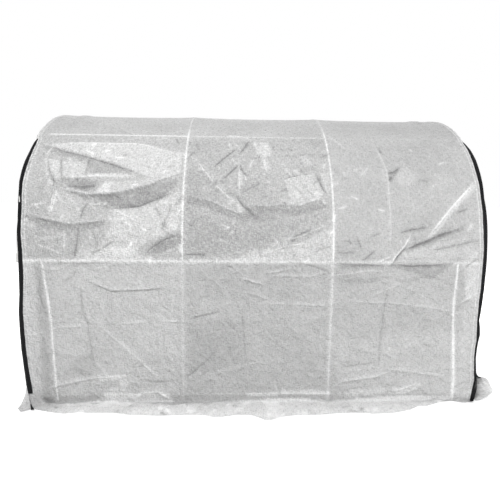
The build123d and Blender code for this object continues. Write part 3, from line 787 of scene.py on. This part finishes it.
# Pixels across each front zip, from its upper end to its foot: how far down, its inner and outer edge.
zip_pixels = {
    "left": (
        (139, 38.4, 37.4), (143, 36.8, 34.2), (153, 32.1, 29.1), (162, 28.5, 24.8), (171, 25.6, 21.8),
        (182, 22.8, 19.4), (190, 22.2, 19.0), (208, 21.8, 18.1), (220, 21.1, 18.0), (232, 20.7, 17.0),
        (251, 22.2, 18.2), (276, 23.4, 19.0), (294, 23.2, 19.5), (312, 22.9, 18.9), (330, 24.3, 20.0),
        (349, 26.1, 21.6), (367, 28.4, 24.1), (385, 31.7, 26.6), (393, 32.9, 28.4), (395, 29.4, 28.6),
        (403, 30.4, 29.4),
    ),
    "right": (
        (143, 462.8, 463.6), (151, 467.9, 470.6), (160, 471.8, 475.5), (173, 475.9, 479.8),
        (185, 479.1, 482.5), (199, 480.8, 484.0), (210, 482.4, 486.0), (223, 483.0, 487.1),
        (238, 483.6, 487.3), (251, 483.8, 487.0), (267, 482.6, 486.1), (290, 480.6, 483.8),
        (303, 478.8, 482.0), (314, 477.9, 480.2), (320, 477.2, 479.0), (327, 477.0, 479.7),
        (335, 476.6, 479.7), (341, 476.4, 478.1), (349, 474.9, 476.6), (358, 474.1, 475.6),
        (371, 474.0, 475.8), (380, 474.1, 476.6), (389, 472.0, 476.4), (398, 470.2, 474.0),
    ),
}
zip_top = shoulder_girth - 0.008
zip_tip = (half_length - 0.003, half_length)
plain_zip_lines = (
    (0, half_length - 0.026, half_length),
    (zip_top - 0.06, half_length - 0.022, half_length),
    (zip_top, *zip_tip),
)


def front_zip_lines(pixels):
    """Up the girth, how far along the tunnel a front zip's inner and outer edges are."""
    lines = []
    for down, inner, outer in reversed(pixels):
        inner_x, girth = on_film(inner, down)
        lines.append((girth, abs(inner_x), abs(on_film(outer, down)[0])))
    return lines + [(lines[-1][0] + 0.05, *zip_tip)]


zip_lines = {}
for end, end_name in ((-1, "left"), (1, "right")):
    zip_lines["front", end] = np.array(front_zip_lines(zip_pixels[end_name]))
    zip_lines["rear", end] = np.array(plain_zip_lines)


def zip_edge(side, end, girth, edge):
    """How far along the tunnel a zip's inner edge, 1, or its outer edge, 2, is at each girth."""
    lines = zip_lines[side, end]
    return np.interp(girth, lines[:, 0], lines[:, edge])


# Pixels along the free edge of the front skirt, from the left corner to the right one.
skirt_edge = (
    (32, 409), (48, 412), (64, 414), (80, 412), (85, 413), (112, 413), (128, 415), (160, 416),
    (183, 415), (204, 415), (212, 417), (223, 417), (236, 415), (250, 415), (260, 418), (266, 421),
    (272, 420), (282, 417), (298, 415), (319, 415), (346, 413), (362, 413), (374, 414), (394, 413),
    (410, 410), (419, 406), (427, 406), (441, 402), (451, 401), (464, 403), (472, 402),
)
skirt_edge_x, skirt_edge_y = np.array([on_ground(*pixel) for pixel in skirt_edge]).T


def front_skirt_reach(x):
    """How far the front skirt spreads on the ground at each place along the wall."""
    return -film_radius - np.interp(x, skirt_edge_x, skirt_edge_y)


def rear_skirt_reach(x):
    """The same for the rear skirt, which the photo doesn't show: a nearly even edge."""
    return skirt_width * 0.95 + 0.012 * np.sin(9.1 * x + 0.6) + 0.008 * np.sin(23.0 * x)


def skirt_lift(along, spread):
    """The skirt lies nearly flat, with low ripples that run out to its edge."""
    ripple = np.sin(17.0 * along + 2.0 * np.sin(5.0 * along)) + 0.6 * np.sin(41.0 * along + 1.0)
    ripple += 0.45 * np.sin(97.0 * along + 2.0 * np.sin(13.0 * along))
    return 0.006 * (2.05 + ripple) * np.sin(pi * np.minimum(spread, 1) ** 0.8) * (0.4 + spread)


sheet_step = 0.0149
crown_step = 0.03
fine_reach = 0.0105  # the net is finer this far to each side of a crease
rim_width = 0.045  # along each end the net is finer too
rim_places = 10
sag_depth = 0.012
longest_skirt = 0.222
drawn_in = 0.055  # the skirt's left corner is pulled in along the wall
crumple_height = 0.005
crumple_width = 0.012
hem_width = 0.008
seam_inset = 0.024
seam_width = 0.004
crown_shade = 0.07  # painted shade over the crown, above the shoulder rail


def finer_at(places, stations):
    """Puts more places of a grid close to each station, where a tube lies under the sheet."""
    for station in stations:
        close = station + tube_width * np.array((-0.6, -0.4, -0.2, 0, 0.2, 0.4, 0.6))
        apart = (places < close[0] - 0.003) | (places > close[-1] + 0.003)
        places = np.sort(np.concatenate((places[apart], close)))
    return places


def long_sheet(name, creases, relief, tone, reach, side):
    """Half of the long sheet, from its skirt on the ground up to the ridge; side is -1 at the rear."""
    edge = half_length - rim_width
    rim = np.linspace(edge, half_length, rim_places)
    middle = np.linspace(-edge, edge, round(2 * edge / sheet_step))[1:-1]
    across = finer_at(np.concatenate((-rim[::-1], middle, rim)), [side * station for station in hoop_x])
    slack_top = shoulder_girth + 0.05
    up = np.linspace(-skirt_width, slack_top, round((skirt_width + slack_top) / sheet_step))
    crown = np.linspace(slack_top, ridge_girth, round((ridge_girth - slack_top) / crown_step))
    up = finer_at(np.concatenate((up, crown[1:])), [base_rail_height, spring_height, shoulder_girth])
    mesh, x, girth = flat_mesh(name, across, up, creases)
    flat = np.stack((x, girth), axis=-1)
    raised_girth = np.maximum(girth, 0)
    place = "front" if side > 0 else "rear"
    left_edge = zip_edge(place, -side, raised_girth, 1)
    right_edge = zip_edge(place, side, raised_girth, 1)
    inset = half_length - np.where(x < 0, left_edge, right_edge) - 0.002
    hem = half_length - np.abs(x)
    spread = np.clip(-girth / skirt_width, 0, 1)
    near_end = smooth(np.abs(x), half_length - 0.25, half_length)
    x = x - np.sign(x) * near_end * (inset + drawn_in * spread * (x < 0))
    depth, height, out_y, out_z = girth_point(raised_girth)
    raised = relief(x * side, raised_girth) - sag_depth * bay_sag(x * side, girth)
    raised *= smooth(girth, -0.02, 0.05) * (1 - smooth(girth, ridge_girth - 0.08, ridge_girth))
    raised *= 1 - 0.8 * (1 - smooth(hem, 0.005, 0.06))
    raised = np.where(raised < 0, raised * (1 - on_tube(x * side, girth)), raised)
    y = depth + out_y * raised - spread * np.minimum(reach(x), longest_skirt)
    crumple = np.abs(crease_marks(x * side, girth, skirt_creases, crumple_height, crumple_width))
    crumple *= smooth(spread, 0, 0.1)
    z = height + out_z * raised + film_thickness + skirt_lift(x, spread) + crumple
    points = np.stack((x * side, y * side, z), axis=-1)
    seam = np.exp(-(((hem - seam_inset) / seam_width) ** 2))
    sewn = (girth > 0) * (0.55 * (hem < hem_width) + 0.6 * seam)
    # The tone: the real whiter hem and seam, painted light and shade from tubes, patches and creases, and
    # painted shade over the crown.
    shade = np.maximum(painted_light_and_shade(x * side, girth), sewn) + tone(x * side, girth)
    shade -= crown_shade * smooth(girth, shoulder_girth, shoulder_girth + 0.15)
    return sheet_object(mesh, points, flat, shade, film_finish)


slack_creases = random_creases(80, 0.11, spring_height, shoulder_girth - 0.08)
wall_creases = random_creases(50, 0.16, 0.05, spring_height)
crinkles = random_creases(110, 0.06, spring_height + 0.06, shoulder_girth - 0.06)
slack_creases += [crease for crease in crinkles if crease[0][0][0] < hoop_x[2]]
skirt_creases = random_creases(40, 0.09, -skirt_width, -0.02)
small_creases = slack_creases + wall_creases
front_creases = [[on_film(*pixel) for pixel in row[0]] for row in photo_folds.values()]
front_creases += [*leg_paths.values(), *(path for path, strength in small_creases + skirt_creases)]
rear_creases = [[(-x, girth) for x, girth in path] for path in front_creases]

crease_height = 0.0036
crease_width = 0.007
# Painted light along raised small creases and painted shade along sunk ones.
crease_tones = (  # how strong each set of small creases shows, and how wide
    (slack_creases, 1.0, 0.006), (wall_creases, 0.25, 0.005), (skirt_creases, 0.9, 0.01),
)
# Each fold's crease line of painted light or shade.
fold_line = 5.5  # the width of a fold's line, in millimetres
wall_line = 0.55  # how strong it is on the wall, where the film is less slack


def wall_relief(x, girth):
    """The folds of the photo, and the small creases between them."""
    small = crease_marks(x, girth, small_creases, crease_height, crease_width)
    return fold_relief(x, girth, photo_folds, on_film) + small


def wall_tone(x, girth):
    """Painted light and shade of patches, folds and creases; the skirt's places counted outwards from the
    wall's foot.
    """
    ground_girth = np.where(girth < 0, girth * front_skirt_reach(x) / skirt_width, girth)
    small = sum(crease_marks(x, girth, *marks) for marks in crease_tones)
    strength = np.where(girth < spring_height, wall_line, 1)
    return fold_tone(x, ground_girth, photo_folds, painted_light_patches, on_film, fold_line, strength) + small


front_cover = long_sheet("front_cover", front_creases, wall_relief, wall_tone, front_skirt_reach, 1)
rear_cover = long_sheet("rear_cover", rear_creases, wall_relief, wall_tone, rear_skirt_reach, -1)
for cover, side in ((front_cover, "front"), (rear_cover, "rear")):
    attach(cover, "root")
    parts = [f"{side}_{part}" for part in ("wall_film", "haunch_film", "crown_film", "skirt")]
    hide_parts(*parts)

# The end panels. Each end is closed by an arched sheet of the same film, sewn to the long sheet over
# the crown and zipped to it down both sides, so that it can be rolled up as a doorway. Nothing
# behind it holds it flat: it hangs in its hoop with slack folds, and has a skirt like the walls.


def left_skirt_reach(y):
    """The left end's skirt is drawn in towards the front corner, where it is pulled forward."""
    spread = smooth(y + film_radius, 0.02, 0.3)
    return 0.03 + (0.085 + 0.02 * np.sin(4.0 * y) + 0.008 * np.sin(19.0 * y)) * spread


def right_skirt_reach(y):
    """The right end's skirt is rounded off towards the front corner."""
    rounded = smooth(y + film_radius, 0.05, 0.35)
    return 0.02 + (0.12 + 0.01 * np.sin(14.0 * y)) * rounded


# Pixels along the front edge of each end panel where its zip has let go, from the skirt's corner up, each
# after its place on the flat sheet above the foot, in metres. On the left the corner lies forward on the
# ground, on the right it turns out to the side in line with the wall.
loose_pixels = {
    "left": ((-0.15, 17.6, 408.5), (-0.10, 20.5, 412.6), (-0.04, 30.6, 410), (0.01, 30.6, 404.2)),
    "right": (
        (-0.15, 474, 401.3), (-0.11, 479, 400), (-0.075, 483.7, 397.6), (-0.05, 487, 395.7),
        (-0.02, 490.4, 393.5), (0.0, 492.1, 391.3), (0.02, 492.5, 388.4), (0.035, 491, 387),
        (0.06, 489.8, 384.2), (0.095, 487.8, 379.8), (0.115, 485.6, 377.9), (0.14, 482.4, 376.7),
        (0.17, 478.4, 376.6), (0.206, 474, 372),
    ),
}
left_front_foot = 0.066  # where the left front zip ends above the ground
loose_ahead = 0.006  # the right corner stands just in front of the wall


def loose_edge(side):
    """Along a loose edge, places on the flat sheet and how far out, forward and high they lie."""
    if side > 0:
        points = [(place, *on_film(*pixel)) for place, *pixel in loose_pixels["right"]]
        return np.array([(place, x - half_length, loose_ahead, max(z, 0.003)) for place, x, z in points])
    points = [(place, *on_ground(*pixel)) for place, *pixel in loose_pixels["left"]]
    edge = [(place, -x - half_length, -film_radius - y, 0.011 + 0.06 * place) for place, x, y in points]
    zipped = zip_edge("front", -1, left_front_foot, 2) - half_length
    return np.array([*edge, (left_front_foot, zipped, 0, left_front_foot)])


loose_width = {-1: 0.14, 1: 0.09}
# Painted light on each end's loose corner, much stronger on the right.
loose_tone = {-1: 0.15, 1: 0.95}
end_apart = 4.0  # the ends are cut from another part of the woven length than the long sheet
end_columns = 190
end_rows = 160
end_skirt_rows = 12
rim_gap = 0.003  # the panel's edge lies just inside the long sheet
hoop_inset = 0.016  # from the panel's edge to the middle of its hoop
end_crease_height = 0.003
end_crease_width = 0.010
# Painted light and shade along the end panels' random creases, and along each fold's line.
end_crease_tone = 0.3
end_crease_line = 0.008
end_line = 9  # the width of a fold's line, in millimetres
end_line_tone = 0.4

# Folds of an end panel, the same at both ends: how far across it and how high, in metres, then height
# and fall to each side in millimetres. It sags from the hoop in swags and hangs straight lower down.
end_folds = {
    "crown swag": (((-0.58, 1.70), (-0.24, 1.60), (0.18, 1.59), (0.58, 1.71)), 14, 46, 12),
    "shoulder swag": (((-0.92, 1.36), (-0.5, 1.20), (0.0, 1.15), (0.45, 1.21), (0.90, 1.38)), 22, 70, 14),
    "left pull": (((-1.0, 0.98), (-0.74, 0.94), (-0.42, 0.80)), 11, 14, 22),
    "right pull": (((1.0, 0.86), (0.72, 0.85), (0.38, 0.70)), 11, 22, 14),
    "left drape": (((-0.64, 0.86), (-0.58, 0.5), (-0.62, 0.1)), 13, 30, 18),
    "middle drape": (((-0.14, 0.98), (-0.08, 0.6), (-0.16, 0.12)), 9, 24, 32),
    "right drape": (((0.52, 0.74), (0.56, 0.45), (0.50, 0.08)), 13, 20, 36),
    "left corner crease": (((-0.98, 0.42), (-0.82, 0.30), (-0.72, 0.12)), 8, 12, 10),
    "right corner crease": (((0.97, 0.50), (0.84, 0.36), (0.78, 0.14)), 8, 10, 12),
    "left cross": (((-0.44, 0.66), (-0.2, 0.52), (0.06, 0.47)), -6, 9, 9),
    "right cross": (((0.12, 0.98), (0.32, 0.88), (0.64, 0.87)), 6, 10, 8),
    "upper left cross": (((-0.52, 1.45), (-0.3, 1.36), (-0.12, 1.38)), -5, 9, 9),
    "upper right cross": (((0.2, 1.44), (0.42, 1.36), (0.6, 1.42)), 5, 9, 9),
    "packing line": (((-0.95, 0.62), (0.0, 0.63), (0.95, 0.61)), -2, 8, 8),
    "upright packing line": (((0.3, 0.06), (0.29, 0.9), (0.3, 1.6)), 3, 8, 8),
    "second upright packing line": (((-0.36, 0.06), (-0.37, 0.9), (-0.36, 1.6)), -2, 8, 8),
}
# Its painted light and shade: patches painted lighter on the swags and pulls, and darker as shade under
# the swags and at the foot, in the same measures, with their tone and how soft their edge is.
end_patches = {
    "crown light": (((-0.5, 1.72), (-0.2, 1.63), (0.2, 1.62), (0.5, 1.73), (0.2, 1.82),
        (-0.2, 1.82)), 0.25, 50),
    "crown swag shade": (((-0.5, 1.66), (-0.2, 1.57), (0.2, 1.56), (0.5, 1.67), (0.2, 1.5),
        (-0.2, 1.5)), -0.3, 24),
    "shoulder light": (((-0.8, 1.36), (0.0, 1.19), (0.8, 1.37), (0.5, 1.47), (-0.5, 1.47)), 0.28, 60),
    "shoulder swag shade": (((-0.8, 1.29), (-0.45, 1.16), (0.0, 1.11), (0.45, 1.17), (0.8, 1.3),
        (0.5, 1.08), (0.05, 1.02), (-0.45, 1.06)), -0.34, 28),
    "left pull light": (((-0.98, 1.02), (-0.5, 0.9), (-0.5, 1.0), (-0.9, 1.1)), 0.22, 40),
    "right pull light": (((0.98, 0.9), (0.5, 0.78), (0.5, 0.9), (0.9, 1.0)), 0.22, 40),
    "foot shade": (((-0.5, 0.35), (0.4, 0.3), (0.4, 0.05), (-0.5, 0.05)), -0.12, 120),
}
end_creases = random_creases(120, 0.2, 0.1, 1.9)


def as_drawn(across, up):
    """The folds of an end panel are given in its own measures."""
    return across, up


def end_sheet(name, reach, side):
    """One end panel with its skirt, from the ground up to the hoop."""
    share = np.linspace(-1, 1, end_columns)
    share = 1.25 * share - 0.25 * share**3
    skirt_rise = np.linspace(-1, 0, end_skirt_rows, endpoint=False)
    rise = np.concatenate((skirt_rise, np.linspace(0, 1, end_rows)))
    mesh, across, up = flat_mesh(name, share, rise, [])
    spread = np.clip(-up, 0, 1)
    z = np.maximum(up, 0) * (spring_height + film_radius * np.sqrt(np.maximum(1 - across**2, 0)))
    over = np.maximum(z - spring_height, 0)
    arm = np.hypot(across * film_radius, over) / film_radius
    rim_girth = spring_height + film_radius * np.arctan2(over, np.abs(across) * film_radius + 1e-9)
    rim_girth = np.where(z < spring_height, z, rim_girth)
    shrink = 1 - rim_gap / film_radius * arm**8
    y = across * film_radius * shrink
    z = np.minimum(z, spring_height) + over * shrink
    room = 1 - smooth(arm, 0.76, 0.99)
    hang = 0.012 * np.sin(2.2 * y + 0.5) * np.sin(2.6 * z + 0.4) - 0.006
    folds = fold_relief(y, z, end_folds, as_drawn)
    folds += crease_marks(y, z, end_creases, end_crease_height, end_crease_width)
    flat = np.stack((y, np.where(spread > 0, -spread * skirt_width, z) - end_apart), axis=-1)
    raised = (hang + folds) * room * smooth(z, 0, 0.06)
    in_front = y * side < 0
    rim_shift = np.where(in_front, zip_edge("front", side, rim_girth, 2), half_length) - half_length
    zipped = 1 - smooth(rim_girth, zip_top - 0.05, zip_top)
    x = half_length + raised + rim_shift * zipped * smooth(arm, 0.9, 1.0) + spread * reach(y * side)
    place = z - skirt_width * spread
    z = z + film_thickness + skirt_lift(y, spread)
    edge = loose_edge(side)
    out, forward, height = (np.interp(place, edge[:, 0], edge[:, column]) for column in (1, 2, 3))
    let_go = edge[-1, 0]
    corner = smooth(np.abs(y), film_radius - loose_width[side], film_radius) * in_front * (place < let_go)
    loose = corner * np.clip((let_go - place) / 0.01, 0, 1)
    x = x + loose * (half_length + out - x)
    y = y - loose * ((film_radius + forward) * side + y)
    z = z + loose * (height - z)
    points = np.stack((x * side, y * side, z), axis=-1)
    # Painted light where the hoop shows through and on the skirt, and painted light and shade of folds,
    # patches and creases.
    tone = 0.5 * np.exp(-((((arm - 1) * film_radius + hoop_inset) / (0.36 * tube_width)) ** 2))
    tone = tone * smooth(z, spring_height, spring_height + 0.1)
    tone += 0.6 * smooth(spread, 0, 0.2) * (1 - corner)
    marks = fold_tone(flat[:, 0], place, end_folds, end_patches, as_drawn, end_line, end_line_tone)
    marks += crease_marks(flat[:, 0], place, end_creases, end_crease_tone, end_crease_line)
    tone += marks * room + loose_tone[side] * corner
    return sheet_object(mesh, points, flat, tone, film_finish)


left_end = end_sheet("left_end_sheet", left_skirt_reach, -1)
right_end = end_sheet("right_end_sheet", right_skirt_reach, 1)
for cover, side in ((left_end, "left"), (right_end, "right")):
    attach(cover, "root")
    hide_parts(f"{side}_end_panel", f"{side}_skirt")

# The zips. A woven black tape is sewn on the face of the long sheet along each corner, from the ground to
# the shoulder rail, with a moulded coil down its middle. Its outer edge turns in to the end panel.
zip_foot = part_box("right_front_zip")[0].z
coil_pitch = 0.004
coil_height = 0.0032
tape_height = 0.0016
zip_colour = (0.006, 0.006, 0.007, 1)
zip_gloss = 0.12

# Loose ends of the tape: the plane of each, by axis and level, and pairs of pixels across it. On the left
# it lies on the ground below the last coil. On the right the half that belongs to the end panel turns
# out with the panel's corner, and the foot runs out over the skirt.
tape_tails = {
    ("left", "front"): (
        (2, 0.014, (
            ((31, 403.6), (30.4, 403.8)), ((32.4, 406.3), (30.5, 406.6)), ((34.6, 409.7), (30.8, 410)),
        )),
    ),
    ("right", "front"): (
        (1, -film_radius - 0.01, (
            ((474.8, 371), (474.6, 374.5)), ((475.9, 372.3), (475.4, 375.6)),
            ((477, 374.7), (476.4, 376.8)), ((478.4, 376.7), (478, 378.3)),
            ((480, 377), (479.6, 378.2)), ((481.2, 377), (481, 377.6)),
        )),
        (2, 0.016, (((473.9, 398.4), (469.9, 398.5)), ((473.5, 401.3), (469.6, 401.5)))),
    ),
}

# Across the band: the share of its width, how far tape and coil rise, and which row of teeth it is.
tape_share = np.array((0, 0, 0.14, 0.3, 0.4, 0.44, 0.47, 0.5, 0.53, 0.56, 0.6, 0.7, 0.86, 1, 1))
tape_rise = np.array((-1, 1, 1, 1, 1, 0, 0, 0, 0, 0, 1, 1, 1, 1, -6))
coil_rise = np.array((0, 0, 0, 0, 0.3, 0.9, 1, 0.6, 1, 0.9, 0.3, 0, 0, 0, 0))
coil_row = np.array((0, 0, 0, 0, 1, 1, 1, 0.5, 0, 0, 0, 0, 0, 0, 0))
tooth_depth = 0.0013


def zip_band(name, side_name, end, foot, tails):
    """The tape and its coil along one corner, bridging the long sheet and the end panel."""
    top = zip_lines[side_name, end][-2, 0] if side_name == "front" else zip_top
    count = round((top - foot) / (coil_pitch / 2))
    girth = np.linspace(foot, top, count)[:, None]
    depth, height, out_y, out_z = girth_point(girth)
    inner = zip_edge(side_name, end, girth, 1)
    outer = zip_edge(side_name, end, girth, 2)
    odd = (np.arange(count) % 2)[:, None]
    tooth = np.where(coil_row == 1, odd, np.where(coil_row == 0, 1 - odd, 0.5))
    lift = tape_rise * tape_height + coil_rise * (coil_height - tooth_depth * tooth) + film_thickness
    x = inner + (outer - inner) * tape_share
    side = 1 if side_name == "front" else -1
    points = np.broadcast_arrays(x * end, (depth + out_y * lift) * side, height + out_z * lift)
    points = np.stack(points, axis=-1)
    mesh = bpy.data.meshes.new(name)
    faces = [tuple(face) for face in grid_faces(*points.shape[:2])]
    if end * side < 0:
        faces = [face[::-1] for face in faces]
    places = [tuple(point) for point in points.reshape(-1, 3)]
    for axis, level, pairs in tails:
        for row in range(len(pairs) - 1):
            first = len(places) + 2 * row
            faces.append((first, first + 1, first + 3, first + 2))
        places += [tuple(on_plane(*pixel, axis, level)) for pair in pairs for pixel in pair]
    mesh.from_pydata(places, [], faces)
    mesh.materials.append(zip_finish)
    return placed(name, mesh)


zip_finish = plain_material("zip tape", zip_colour, 900, 0.5)
set_inputs(zip_finish.node_tree.nodes["Principled BSDF"], {"Specular IOR Level": zip_gloss})
for end, end_name in ((-1, "left"), (1, "right")):
    for side_name in ("front", "rear"):
        foot = left_front_foot if (end_name, side_name) == ("left", "front") else zip_foot
        tails = tape_tails.get((end_name, side_name), ())
        band = zip_band(f"{end_name}_{side_name}_zip_band", side_name, end, foot, tails)
        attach(band, "root")
        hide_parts(f"{end_name}_{side_name}_zip")

# The sliders. A die-cast slider rides on each zip's coil, enamelled black, with a bridge over its back
# and a pull that hangs from the bridge, pale on the left and black on the right. The sliders at the
# right end are down, those at the left end part way up the arch.
slider_length = 0.026
slider_width = 0.0125
slider_height = 0.0065
slider_places = {-1: spring_height + 0.4, 1: 0.13}
bridge_width = 0.0042
bridge_height = 0.0035
bridge_length = slider_length * 0.62
pull_length = 0.036
pull_width = 0.008
pull_thickness = 0.0018
pull_ring = 0.0042
pull_wire = 0.0010
pull_lean = radians(12)
enamel_colour = (0.012, 0.012, 0.012, 1)
pull_colour = (0.62, 0.62, 0.61, 1)


def rounded_block(mesh, size, bevel, taper):
    """Adds a block with rounded edges, narrower towards its lower end."""
    made = bmesh.ops.create_cube(mesh, size=1)["verts"]
    for vertex in made:
        vertex.co.x *= size[0] * (taper if vertex.co.z < 0 else 1)
        vertex.co.y *= size[1]
        vertex.co.z *= size[2]
    edges = list({edge for vertex in made for edge in vertex.link_edges})
    cut = bmesh.ops.bevel(mesh, geom=edges, offset=bevel, segments=3, affect="EDGES", profile=0.6)
    rounded = {vertex for face in cut["faces"] for vertex in face.verts}
    return list(rounded | {vertex for vertex in made if vertex.is_valid})


def ring(mesh, radius, wire, steps=20, sides=8):
    """Adds a wire ring that stands across the zip."""
    rows = []
    for step in range(steps):
        turn = 2 * pi * step / steps
        row = []
        for part in range(sides):
            bend = 2 * pi * part / sides
            arm = radius + wire * cos(bend)
            row.append(mesh.verts.new((wire * sin(bend), arm * cos(turn), arm * sin(turn))))
        rows.append(row)
    for a, b in zip(rows, rows[1:] + rows[:1]):
        for i in range(sides):
            mesh.faces.new((a[i], a[i - 1], b[i - 1], b[i]))
    return [vertex for row in rows for vertex in row]


def slider_parts(pulls):
    """The bodies of the four sliders, or their pulls, in one mesh."""
    mesh = bmesh.new()
    for end, girth in slider_places.items():
        for side_name, side in (("front", 1), ("rear", -1)):
            before = set(mesh.verts)
            if pulls:
                tab = rounded_block(mesh, (pull_width, pull_thickness, pull_length), 0.0008, 0.8)
                bmesh.ops.translate(mesh, verts=tab, vec=(0, -slider_height - 0.002, -pull_length / 2))
                loop = ring(mesh, pull_ring, pull_wire)
                bmesh.ops.translate(mesh, verts=loop, vec=(0, -slider_height - 0.001, 0))
            else:
                body = rounded_block(mesh, (slider_width, slider_height, slider_length), 0.0016, 0.72)
                bmesh.ops.translate(mesh, verts=body, vec=(0, -slider_height / 2, 0))
                bridge = rounded_block(mesh, (bridge_width, bridge_height, bridge_length), 0.0012, 1.0)
                bmesh.ops.translate(mesh, verts=bridge, vec=(0, -slider_height - 0.0012, 0))
            made = [vertex for vertex in mesh.verts if vertex not in before]
            middle = (zip_edge(side_name, end, girth, 1) + zip_edge(side_name, end, girth, 2)) / 2
            depth, height, out_y, out_z = (float(v) for v in girth_point(girth))
            lean = Matrix.Rotation(pull_lean if pulls else 0, 4, "Y")
            tilt = Matrix.Rotation(asin(out_z), 4, "X")
            lift = film_thickness + tape_height + 0.001
            place = Vector((middle, depth + out_y * lift, height + out_z * lift))
            turn = Matrix.Scale(end, 4, (1, 0, 0)) @ Matrix.Scale(side, 4, (0, 1, 0))
            seat = turn @ Matrix.Translation(place) @ tilt.inverted() @ lean
            bmesh.ops.transform(mesh, verts=made, matrix=seat)
            for face in {face for vertex in made for face in vertex.link_faces}:
                face.material_index = 1 if pulls and end > 0 else 0
    bmesh.ops.recalc_face_normals(mesh, faces=mesh.faces)
    name = "zip_pulls" if pulls else "zip_slider_bodies"
    data = bpy.data.meshes.new(name)
    mesh.to_mesh(data)
    mesh.free()
    data.shade_smooth()
    return placed(name, data)


enamel = plain_material("slider enamel", enamel_colour, 500, 0.3)
slider_bodies = slider_parts(False)
slider_bodies.data.materials.append(enamel)
slider_pulls = slider_parts(True)
slider_pulls.data.materials.append(plain_material("slider pull", pull_colour, 400, 0.3, 0.6))
slider_pulls.data.materials.append(enamel)
for piece in (slider_bodies, slider_pulls):
    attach(piece, "root")
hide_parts("zip_sliders")

# The floor, the light and the white ground. A plain studio floor takes the tunnel's soft shadow, and
# to the camera it turns into the white of the ground further out.


def white_to(tree):
    """1 for rays from the camera, and for those that glossy or clear surfaces send on."""
    seen = add(tree, "LightPath", {})
    value = seen["Is Camera Ray"]
    for kind in ("Is Glossy Ray", "Is Transmission Ray"):
        value = add(tree, "Math", {0: value, 1: seen[kind]}, operation="MAXIMUM")["Value"]
    return value


floor_size = 80.0
floor_colour = (0.80, 0.80, 0.80, 1)
white = (1, 1, 1, 1)
ambient = 0.24
floor_mesh = bpy.data.meshes.new("floor")
floor_mesh.from_pydata(
    [(i * floor_size / 2, j * floor_size / 2, 0) for i, j in ((-1, -1), (1, -1), (1, 1), (-1, 1))],
    [],
    [(0, 1, 2, 3)],
)
floor = placed("floor", floor_mesh)
floor_finish, floor_tree, floor_shader = new_material("floor")
floor_place = add(floor_tree, "TexCoord", {})["Object"]
floor_reach = add(floor_tree, "VectorMath", {0: floor_place}, operation="LENGTH")["Value"]
fade = {"From Min": 1.7, "From Max": 3.6, "To Min": 0.35, "To Max": 1.0}
floor_glow = add(floor_tree, "MapRange", {"Value": floor_reach, **fade})["Result"]
seen_glow = {0: floor_glow, 1: white_to(floor_tree)}
floor_strength = add(floor_tree, "Math", seen_glow, operation="MULTIPLY")["Value"]
set_inputs(floor_shader, {
    "Base Color": floor_colour, "Roughness": 1, "Specular IOR Level": 0, "Emission Color": white,
    "Emission Strength": floor_strength,
})
floor_mesh.materials.append(floor_finish)

world = bpy.data.worlds.new("studio")
scene.world = world
world.use_nodes = True
seen_level = {"Value": white_to(world.node_tree), "To Min": ambient, "To Max": 1.0}
world_level = add(world.node_tree, "MapRange", seen_level)["Result"]
set_inputs(world.node_tree.nodes["Background"], {"Color": white, "Strength": world_level})


def softbox(name, place, target, width, height, power, mirrored=True):
    """A studio light that faces a point, and may be left out of what the film mirrors."""
    light = bpy.data.lights.new(name, "AREA")
    light.shape = "RECTANGLE"
    light.size = width
    light.size_y = height
    light.energy = power
    made = placed(name, light)
    made.visible_glossy = mirrored
    made.location = place
    made.rotation_euler = (Vector(target) - Vector(place)).to_track_quat("-Z", "Y").to_euler()


softbox("overhead", (-0.9, -0.6, 5.6), (-0.2, -0.2, 1.0), 5.0, 5.0, 35)
softbox("key", (-0.8, -3.9, 4.4), (-0.2, -1.0, 1.0), 2.8, 1.4, 181, False)
softbox("fill", (3.6, -4.6, 2.2), (0.6, -1.0, 0.7), 2.0, 2.0, 99)
softbox("rear", (-0.8, 4.4, 3.6), (0, 1.0, 0.9), 2.8, 1.4, 150, False)
softbox("left", (-5.2, 0.4, 2.6), (-1.5, 0.1, 0.9), 2.4, 2.0, 96, False)
softbox("right", (5.2, 0.8, 2.6), (1.5, 0.1, 0.9), 2.4, 2.0, 96, False)

scene.view_settings.view_transform = "Standard"
